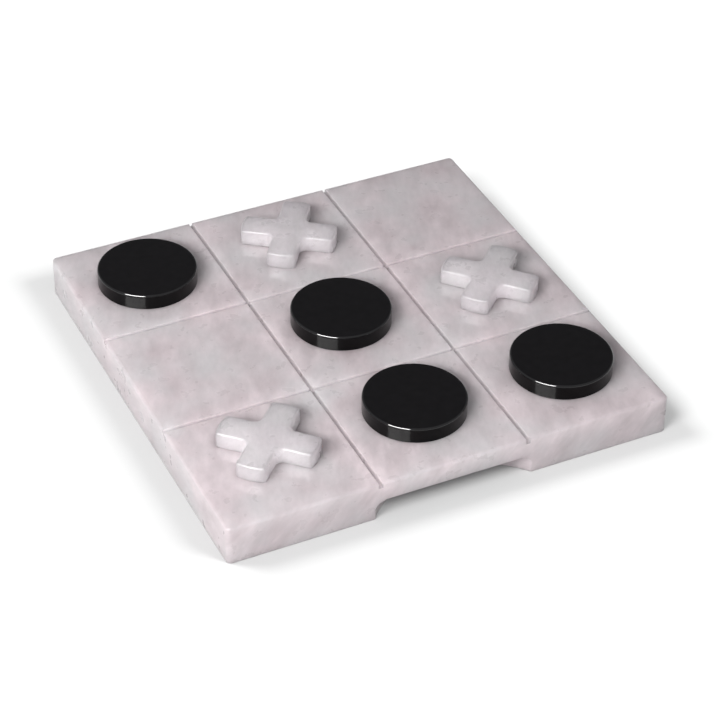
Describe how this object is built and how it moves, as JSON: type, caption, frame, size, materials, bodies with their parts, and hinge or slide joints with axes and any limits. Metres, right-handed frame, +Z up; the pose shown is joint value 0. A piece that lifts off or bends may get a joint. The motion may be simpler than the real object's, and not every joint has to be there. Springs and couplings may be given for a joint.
{
  "type": "tic tac toe set",
  "caption": "Square stone game board with grooved cells and finger recesses, with loose round discs and crosses to play on it.",
  "frame": {"origin": "centre of the board's underside, where it rests on a table", "axes": "+X to the right along the board's front edge, +Y towards its back edge, +Z up"},
  "size_m": [0.221, 0.221, 0.028],
  "materials": {
    "board_alabaster": "satin polished, cloudy white to pale pink-grey, slightly translucent",
    "cross_alabaster": "satin polished, white, slightly translucent",
    "disc_black_stone": "polished, near black, glossy rim"
  },
  "bodies": {
    "board": {"board": "board_alabaster"},
    "disc_back_left": {"disc_back_left": "disc_black_stone"},
    "disc_centre": {"disc_centre": "disc_black_stone"},
    "disc_front_middle": {"disc_front_middle": "disc_black_stone"},
    "disc_front_right": {"disc_front_right": "disc_black_stone"},
    "cross_back_middle": {"cross_back_middle": "cross_alabaster"},
    "cross_middle_right": {"cross_middle_right": "cross_alabaster"},
    "cross_front_left": {"cross_front_left": "cross_alabaster"}
  },
  "joints": [
    {"name": "disc_back_left_lift", "type": "slide", "parent": "board", "child": "disc_back_left", "axis": [0, 0, 1], "range_m": [0, 0.04]},
    {"name": "disc_centre_lift", "type": "slide", "parent": "board", "child": "disc_centre", "axis": [0, 0, 1], "range_m": [0, 0.04]},
    {"name": "disc_front_middle_lift", "type": "slide", "parent": "board", "child": "disc_front_middle", "axis": [0, 0, 1], "range_m": [0, 0.04]},
    {"name": "disc_front_right_lift", "type": "slide", "parent": "board", "child": "disc_front_right", "axis": [0, 0, 1], "range_m": [0, 0.04]},
    {"name": "cross_back_middle_lift", "type": "slide", "parent": "board", "child": "cross_back_middle", "axis": [0, 0, 1], "range_m": [0, 0.04]},
    {"name": "cross_middle_right_lift", "type": "slide", "parent": "board", "child": "cross_middle_right", "axis": [0, 0, 1], "range_m": [0, 0.04]},
    {"name": "cross_front_left_lift", "type": "slide", "parent": "board", "child": "cross_front_left", "axis": [0, 0, 1], "range_m": [0, 0.04]}
  ]
}
